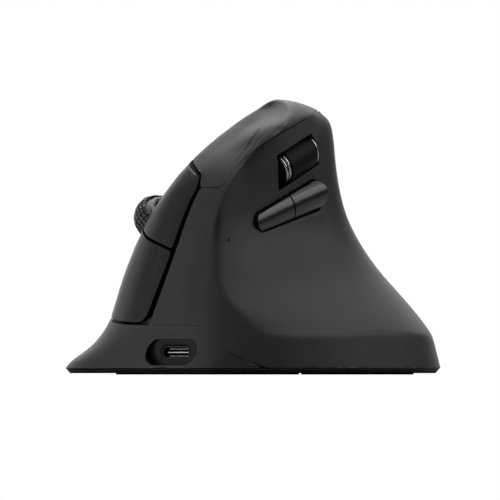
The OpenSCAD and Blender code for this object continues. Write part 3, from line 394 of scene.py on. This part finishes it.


# %% [markdown]
# ## The main buttons
# The two main buttons are long plates, one above the other on the finger side. Their end walls stand in
# narrow gaps that show as black lines. A thin shell in a gap catches stray light in the render, so the end
# walls are painted a dull black as painted shade of the gap. At the very end of a plate the rounding that
# leads to the wall gets the same painted shade, which hides its highlight.

# %% Soften the main buttons
slope = Vector(joints["left_click"]["axis"])
end_depth = 0.8 * mm
for node in ("left_button", "right_button"):
    piece = softened(node, 0.2, key_black, levels=2)
    key_end = max(corner.co.dot(slope) for corner in piece.data.vertices) - end_depth

    def in_gap(centre, normal):
        least = 0.4 if centre.dot(slope) > key_end else 0.8
        return normal.dot(slope) > least

    # Painted shade: the end walls, and the rounding at the upper end, get the near-black matte finish.
    paint(piece, painted_gap_shade, in_gap)


# %% [markdown]
# ## The base ring and its charging recess
# The seam between the base ring and the side shell is almost invisible, so the ring's upper edge is raised
# into the clearance of the construction model. The recess of the socket looks shallower in the photograph
# than in the construction model. Its floor, the mouth of the socket and the tongue are all brought forward
# by the same step, and the recess is painted darker than the case, as painted shade. The thin end of the
# ring under the thumb side is drawn out a little, so that it ends in a point.

# %% Say which faces of the ring are meant
seam_step = 0.17 * mm
seam_front = 25 * mm
seam_left = 12 * mm
port_step = 1.8 * mm
recess_half = Vector((9, 0, 4.5)) * mm
port = next(Vector(mount["pos_m"]) for mount in record["mounts"] if mount["name"] == "charging_port")
ring_tip = Vector((-30.2, 39.9, 2)) * mm
tip_way = Vector((-0.85, -0.53, 0))
tip_step = tip_way * 0.8 * mm
tip_reach = 0.3 * mm


def at_seam(centre, normal):
    """The upper edge of the ring, at the front and on the thumb side."""
    return normal.z > 0.45 and centre.y > seam_front and centre.x < seam_left


def near_port(centre, back, front):
    """Inside the outline of the recess, and between two depths behind and in front of the mouth."""
    offset = centre - port
    return abs(offset.x) < recess_half.x and abs(offset.z) < recess_half.z and -back < offset.y < front


def at_mouth(centre, normal):
    """The recess floor and the ends of the socket, which face straight ahead."""
    return normal.y > 0.98 and near_port(centre, 3 * mm, 2 * mm)


def in_recess(centre, normal):
    """Floor and walls of the recess. The faces that lean a little, round its rim, keep the case finish."""
    return near_port(centre, 1 * mm, 9 * mm) and not 0.85 < normal.y < 0.98


def at_tip(point):
    """The lower corners of the thin end of the ring, under the thumb side."""
    offset = point - ring_tip
    return offset.length < 2.5 * mm and point.z < 2 * mm and offset.dot(tip_way) > -0.6 * mm


print("charging port at", [round(v / mm, 1) for v in port])

# %% [markdown]
# ## Moving those faces
# The faces that were named are moved before the subdivision, so the rounding follows their new place. The
# socket shell and its tongue are small stampings, and a fine bevel is enough for them.

# %% Finish the base ring and the socket
raised = (at_seam, (0, 0, seam_step))
forward = (at_mouth, (0, port_step, 0))
drawn_out = (at_tip, tip_step, tip_reach)
base_ring = softened("base_skirt", 0.1, case_black, levels=2, shifts=[raised, forward], pulls=[drawn_out])
# Painted shade: the floor and walls of the recess get the darker finish.
paint(base_ring, painted_recess_shade, in_recess)
softened("usb_shell", 0.08, socket_metal, angle=35, shifts=[forward])
softened("usb_tongue", 0.05, plate_black, angle=35, shifts=[forward])


# %% [markdown]
# ## The side buttons and the small mouldings
# The forward and back buttons are one tapered bar cut in two. Their crown is already curved, so they only
# need a rounder edge and the smoother satin finish. The bottom plate, the glide pads, the two small
# controls and the screws under the mouse are softened the same way, with an edge that suits each.

# %% Soften the buttons and the underside
edge_of_node = {
    "forward_button": 0.35,
    "back_button": 0.35,
    "bottom_plate": 0.1,
    "front_skate": 0.15,
    "rear_skate": 0.15,
    "sensor_skate": 0.15,
    "dpi_button": 0.2,
    "mode_slider": 0.2,
    "case_screws": 0.1,
}
for node, edge in edge_of_node.items():
    softened(node, edge, finish_of_slot[slot_of_node[node]], angle=35)


# %% [markdown]
# ## A frame for round pieces
# A wheel is easiest to model flat, with its axle along Z at the origin. The joint of the construction model
# tells where the axle really is, so one matrix moves the finished piece there, and applying it leaves the
# place in the mesh.

# %% Frames of the wheel and the roller
def axle_frame(joint, outward):
    """X points outward, Z along the axle."""
    centre = Vector(joints[joint]["pos_m"])
    along = Vector(joints[joint]["axis"]).normalized()
    out = (outward - along * outward.dot(along)).normalized()
    across = along.cross(out)
    turn = Matrix((out, across, along)).transposed().to_4x4()
    return Matrix.Translation(centre) @ turn


wheel_frame = axle_frame("wheel_spin", Vector((1, 0, 0)))
roller_frame = axle_frame("roller_spin", Vector((-1, 0, 0)))


def seat(piece, place):
    """Moves a piece that was modelled at the origin to its place, and bakes the place into the mesh."""
    piece.matrix_world = place
    pick(piece)
    bpy.ops.object.transform_apply(location=True, rotation=True, scale=True)


print("wheel at", [round(v / mm, 1) for v in wheel_frame.translation])


# %% [markdown]
# ## The scroll wheel's tyre
# The wheel wears a soft balloon tyre, like that of an off-road car. It could be spun from a profile, but a
# torus already has the round crown. Its inner half is cut away, and a straight bore closes it.

# %% Carcass
wheel_r = 13.2 * mm
wheel_w = 7.6 * mm
tyre_bore = 10.3 * mm
tread_h = 0.5 * mm
crown_r = wheel_w / 2
crown_middle = wheel_r - tread_h - crown_r
turns = 40
crown_steps = 24


def recalculated(piece):
    """Welds the corners and turns all faces outward."""
    pick(piece)
    bpy.ops.object.mode_set(mode="EDIT")
    bpy.ops.mesh.select_all(action="SELECT")
    bpy.ops.mesh.remove_doubles(threshold=0.001 * mm)
    bpy.ops.mesh.normals_make_consistent(inside=False)
    end_edit()


def bore_through(piece):
    """Deletes the selected faces and joins the two open rims by a straight wall."""
    bpy.ops.mesh.delete(type="FACE")
    bpy.ops.mesh.select_mode(type="EDGE")
    bpy.ops.mesh.select_non_manifold()
    bpy.ops.mesh.bridge_edge_loops()
    end_edit()
    recalculated(piece)


deselect()
bpy.ops.mesh.primitive_torus_add(major_segments=turns, minor_segments=crown_steps,
                                 major_radius=crown_middle, minor_radius=crown_r)
tyre = bpy.context.object
tyre.name = "tyre"
select_faces(tyre, lambda centre, normal: centre.xy.length < tyre_bore)
bore_through(tyre)
print("carcass faces:", len(tyre.data.polygons))

# %% [markdown]
# ## Tread and sidewalls
# The tread is a net of small zigzag blocks. Pushing every second column of corners sideways bends the rows
# into zigzags. Every face of the crown is then inset and raised by itself, which leaves the fine grooves
# between the blocks. One ring of faces on each sidewall is pressed in.

# %% Zigzag tread and sidewall rings
row_angle = 2 * math.pi / crown_steps
zigzag = 0.45 * mm
zigzag_span = 2.5 * row_angle
tread_span = 3.4 * row_angle
ring_row = 3.5 * row_angle
groove_half = 0.17 * mm
ring_depth = 0.3 * mm


def crown_angle(point):
    """Angle of a point round the tyre's section: zero on the tread's middle line."""
    return math.atan2(point.z, point.xy.length - crown_middle)


def on_even_column(point):
    column = round(math.atan2(point.y, point.x) * turns / (2 * math.pi))
    return column % 2 == 0 and abs(crown_angle(point)) < zigzag_span


def on_ring_row(centre, normal):
    return abs(abs(crown_angle(centre)) - ring_row) < 0.3 * row_angle


select_corners(tyre, on_even_column)
bpy.ops.transform.translate(value=(0, 0, zigzag))
end_edit()
select_faces(tyre, lambda centre, normal: abs(crown_angle(centre)) < tread_span)
bpy.ops.mesh.inset(thickness=groove_half, use_individual=True)
bpy.ops.mesh.extrude_faces_move(TRANSFORM_OT_shrink_fatten={"value": tread_h})
end_edit()
select_faces(tyre, on_ring_row)
bpy.ops.mesh.extrude_region_shrink_fatten(TRANSFORM_OT_shrink_fatten={"value": -ring_depth})
end_edit()
smooth(tyre, 35)
seat(tyre, wheel_frame)
stand_for(tyre, "scroll_tyre", tyre_rubber)
print("tyre faces:", len(tyre.data.polygons))


# %% [markdown]
# ## The wheel's hub
# Inside the tyre sits a dished hub: a rim lip, a recessed web and a boss round the axle. A lathe profile
# would do, but two insets, each followed by an extrusion of the two end faces, dish both sides at once.

# %% Dish the hub
hub_r = 10.5 * mm
hub_w = 6.7 * mm
rim_t = 0.8 * mm
dish = 2.4 * mm
boss_r = 2.4 * mm
web_w = hub_r - rim_t - boss_r

deselect()
bpy.ops.mesh.primitive_cylinder_add(vertices=72, radius=hub_r, depth=hub_w)
hub = bpy.context.object
hub.name = "hub"


def sink_ends(depth):
    """Moves the two selected end faces towards the middle (or away from it, for a negative depth)."""
    bpy.ops.mesh.extrude_faces_move(TRANSFORM_OT_shrink_fatten={"value": -depth})


select_faces(hub, lambda centre, normal: abs(normal.z) > 0.9)
bpy.ops.mesh.inset(thickness=rim_t, use_individual=True)
sink_ends(dish)
bpy.ops.mesh.inset(thickness=web_w, use_individual=True)
sink_ends(-dish)
end_edit()
round_edges(hub, 0.2 * mm)
recalculated(hub)
print("hub faces:", len(hub.data.polygons))

# %% [markdown]
# ## Spokes
# Five flat spokes join the boss to the rim. They are plain blocks turned round the axle and joined to the
# hub. The lip alone takes the lighter finish, which draws the thin bright circle inside the tyre.

# %% Spokes and finishes of the hub
spoke_count = 5
spoke_w = 1.6 * mm
spoke_middle = boss_r + web_w / 2
lip_from = hub_r - 1.2 * rim_t
lip_height = (hub_w - dish) / 2

spokes = []
for turn in range(spoke_count):
    angle = 2 * math.pi * turn / spoke_count
    place = (spoke_middle * math.cos(angle), spoke_middle * math.sin(angle), 0)
    deselect()
    bpy.ops.mesh.primitive_cube_add(size=1, location=place, rotation=(0, 0, angle),
                                    scale=(web_w, spoke_w, hub_w - dish))
    bpy.ops.object.transform_apply(location=True, rotation=True, scale=True)
    spokes.append(bpy.context.object)
hub = joined([hub] + spokes)
smooth(hub, 40)
stand_for(hub, "scroll_hub", hub_black)
paint(hub, rim_grey, lambda centre, normal: abs(centre.z) > lip_height and centre.xy.length > lip_from)
seat(hub, wheel_frame)
print("hub faces with spokes:", len(hub.data.polygons))


# %% [markdown]
# ## The thumb roller
# The roller is a barrel with fine ribs along it, so that a thumb can grip it. A bump texture would leave
# its outline smooth, so the ribs are real: every second strip of a cylinder's wall is pressed in by a
# fraction of a millimetre. A thinner core runs through the barrel and carries the end rings.

# %% Rib the barrel
roller_r = 5.0 * mm
roller_l = 14.4 * mm
core_r = roller_r - 1.2 * mm
ring_t = 0.8 * mm
barrel_from = -roller_l / 2 + 3 * ring_t
barrel_to = roller_l / 2 - 1.2 * ring_t
rib_count = 46
rib_depth = 0.28 * mm
strip = math.pi / rib_count


def in_groove(centre, normal):
    """Every second strip of the barrel's wall."""
    return abs(normal.z) < 0.5 and round(math.atan2(centre.y, centre.x) / strip - 0.5) % 2 == 0


deselect()
bpy.ops.mesh.primitive_cylinder_add(vertices=2 * rib_count, radius=roller_r, depth=barrel_to - barrel_from,
                                    location=(0, 0, (barrel_from + barrel_to) / 2))
barrel = bpy.context.object
barrel.name = "roller_barrel"
bpy.ops.object.transform_apply(location=True, rotation=False, scale=False)
select_faces(barrel, in_groove)
bpy.ops.mesh.extrude_faces_move(TRANSFORM_OT_shrink_fatten={"value": -rib_depth})
end_edit()
deselect()
bpy.ops.mesh.primitive_cylinder_add(vertices=64, radius=core_r, depth=roller_l)
core = bpy.context.object
round_edges(core, 0.4 * mm)
barrel = joined([barrel, core])
smooth(barrel, 30)
seat(barrel, roller_frame)
stand_for(barrel, "thumb_roller", roller_black)
print("barrel faces:", len(barrel.data.polygons))

# %% [markdown]
# ## The roller's end rings
# The ends of the roller carry polished rings: two at the front with a dark groove between them, one at the
# rear. Each is a short cylinder with a bore, and a bevel in four steps gives it the round edge that catches
# the light.

# %% Polished end rings
ring_outer = roller_r - 0.15 * mm
ring_starts = (-roller_l / 2, -roller_l / 2 + 1.6 * ring_t, barrel_to)
rings = []
for start in ring_starts:
    deselect()
    bpy.ops.mesh.primitive_cylinder_add(vertices=96, radius=ring_outer, depth=ring_t,
                                        location=(0, 0, start + ring_t / 2))
    ring = bpy.context.object
    bpy.ops.object.transform_apply(location=True, rotation=False, scale=False)
    select_faces(ring, lambda centre, normal: abs(normal.z) > 0.9)
    bpy.ops.mesh.inset(thickness=ring_outer - core_r, use_individual=True)
    bore_through(ring)
    round_edges(ring, 0.3 * mm, segments=4)
    rings.append(ring)
end_rings = joined(rings)
end_rings.name = "roller_end_rings"
smooth(end_rings, 40)
seat(end_rings, roller_frame)
stand_for(end_rings, "roller_rings", bright_ring)
print("ring faces:", len(end_rings.data.polygons))


# %% [markdown]
# ## Contacts in the charging socket
# A thin light metal strip on the tongue's front edge is a painted highlight for its bright edge, and rows of
# small spring contacts stand above and below it. They are plain little blocks, placed from the box of the
# tongue in the construction model and brought forward like the mouth of the socket.

# %% Tongue edge and contact rows
contact_count = 12
contact_pitch = 0.5 * mm
contact_size = (0.2 * mm, 0.6 * mm, 0.22 * mm)
contact_depth = 0.5 * mm
row_heights = (0.85 * mm, -0.95 * mm)
edge_t = 0.1 * mm
edge_margin = 0.3 * mm

tongue_box = [nodes["usb_tongue"].matrix_world @ Vector(corner) for corner in nodes["usb_tongue"].bound_box]
tongue_low = Vector([min(corner[axis] for corner in tongue_box) for axis in range(3)])
tongue_high = Vector([max(corner[axis] for corner in tongue_box) for axis in range(3)])
tongue_mid = (tongue_low + tongue_high) / 2
edge_w = tongue_high.x - tongue_low.x - edge_margin
edge_y = tongue_high.y + port_step


def block(name, centre, size, material):
    deselect()
    bpy.ops.mesh.primitive_cube_add(size=1, location=centre, scale=size)
    bpy.ops.object.transform_apply(location=True, rotation=True, scale=True)
    bpy.context.object.name = name
    bpy.context.object.data.materials.append(material)
    return bpy.context.object


edge_place = (tongue_mid.x, edge_y, tongue_mid.z)
# Painted highlight: a thin light strip along the tongue's front edge.
metal = [block("tongue_highlight_strip", edge_place, (edge_w, edge_t, edge_t), painted_edge_highlight)]
for row_height in row_heights:
    for step in range(contact_count):
        across = (step - (contact_count - 1) / 2) * contact_pitch
        centre = (tongue_mid.x + across, edge_y - contact_depth, tongue_mid.z + row_height)
        metal.append(block("contact", centre, contact_size, spring_metal))
contacts = joined(metal)
contacts.name = "socket_contacts"
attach(contacts, body_of_node["usb_tongue"])
print("contacts:", len(metal))


# %% [markdown]
# ## The floor
# The mouse stands on a plain pale sheet. A white sheet would throw so much light back that the black case
# turned grey. So the sheet answers by the kind of ray, which the Light Path node tells: pale for the camera,
# darker in the mirror of the case, and darker still where it lights the case from below.

# %% A pale sheet
def by_ray(tree, seen, mirrored, scattered):
    """A value for rays from the camera, another for mirrored and transmitted rays, and one for the rest."""
    path = tree.nodes.new("ShaderNodeLightPath")
    clear = tree.nodes.new("ShaderNodeMath")
    clear.operation = "MAXIMUM"
    tree.links.new(path.outputs["Is Glossy Ray"], clear.inputs[0])
    tree.links.new(path.outputs["Is Transmission Ray"], clear.inputs[1])
    dim = tree.nodes.new("ShaderNodeMapRange")
    dim.inputs["To Min"].default_value = scattered
    dim.inputs["To Max"].default_value = mirrored
    tree.links.new(clear.outputs["Value"], dim.inputs["Value"])
    choice = tree.nodes.new("ShaderNodeMapRange")
    choice.inputs["To Max"].default_value = seen
    tree.links.new(path.outputs["Is Camera Ray"], choice.inputs["Value"])
    tree.links.new(dim.outputs["Result"], choice.inputs["To Min"])
    return choice.outputs["Result"]


deselect()
bpy.ops.mesh.primitive_plane_add(size=4)
floor = bpy.context.object
floor.name = "floor"
floor_white = bpy.data.materials.new("floor_white")
floor_white.use_nodes = True
sheet = floor_white.node_tree
paper = sheet.nodes["Principled BSDF"]
paper.inputs["Roughness"].default_value = 0.9
sheet.links.new(by_ray(sheet, seen=0.8, mirrored=0.5, scattered=0.25), paper.inputs["Base Color"])
floor.data.materials.append(floor_white)
print("floor:", floor.name)


# %% [markdown]
# ## The lights
# A black object is drawn by what it mirrors, so each soft box is there for one part of the mouse. The
# overhead box and the two top boxes light the crown and the thumb scoop from above. Two boxes beyond the
# mouse give the crown its sheen. Three boxes on the left draw the main buttons, the front strip and the
# foot. The box and the strip on the right reach the side buttons and the skirt, and the wall of light
# behind draws the rims. No box stands where the upright thumb wall would mirror it, so the wall stays dark.

# %% Soft boxes
light_aim = Vector((0, 0, 0.035))


def soft_box(name, right, up, back, size, watts):
    """An area light placed in the picture's own directions, in metres, and aimed at the mouse."""
    place = camera_right * right + Vector((0, 0, up)) + camera_back * back
    bpy.ops.object.light_add(type="AREA", location=place)
    light = bpy.context.object
    light.name = name
    light.visible_camera = False
    light.data.shape = "RECTANGLE"
    light.data.size, light.data.size_y = size
    light.data.energy = watts
    light.rotation_euler = (place - light_aim).to_track_quat("Z", "Y").to_euler()


soft_box("top_right_box", 0.55, 0.65, -0.1, (0.4, 0.4), 0.5)
soft_box("right_box", 0.8, 0.5, -0.35, (0.3, 0.3), 0.45)
soft_box("top_left_box", -0.55, 0.65, 0.0, (0.4, 0.4), 0.25)
soft_box("top_back_box", -0.1, 0.6, -0.7, (0.3, 0.25), 1.45)
soft_box("far_top_box", 0.2, 0.75, -0.6, (0.4, 0.3), 1.15)
soft_box("left_back_box", -0.7, 0.3, -0.6, (0.5, 0.5), 0.85)
soft_box("low_left_box", -0.7, 0.1, 0.2, (0.3, 0.15), 1.4)
soft_box("front_left_box", -0.6, 0.35, 0.6, (0.3, 0.4), 0.6)
soft_box("overhead_box", 0.1, 0.9, -0.1, (0.2, 0.2), 2.2)
soft_box("back_wall", 0.0, 0.3, -1.0, (1.0, 0.6), 3.5)
soft_box("right_strip", 0.86, 0.46, -0.155, (0.16, 0.4), 0.6)


# %% [markdown]
# ## The white room
# The background of the photograph is pure white, but its black case mirrors a dark studio. The world does
# both: the camera sees it at full strength, and mirrored and scattered rays find it almost black.

# %% World and view
world = bpy.data.worlds.new("white_room")
bpy.context.scene.world = world
world.use_nodes = True
room = world.node_tree
background = room.nodes["Background"]
background.inputs["Color"].default_value = (1, 1, 1, 1)
room.links.new(by_ray(room, seen=1.0, mirrored=0.03, scattered=0.01), background.inputs["Strength"])
bpy.context.scene.view_settings.view_transform = "Standard"
print("world:", world.name)
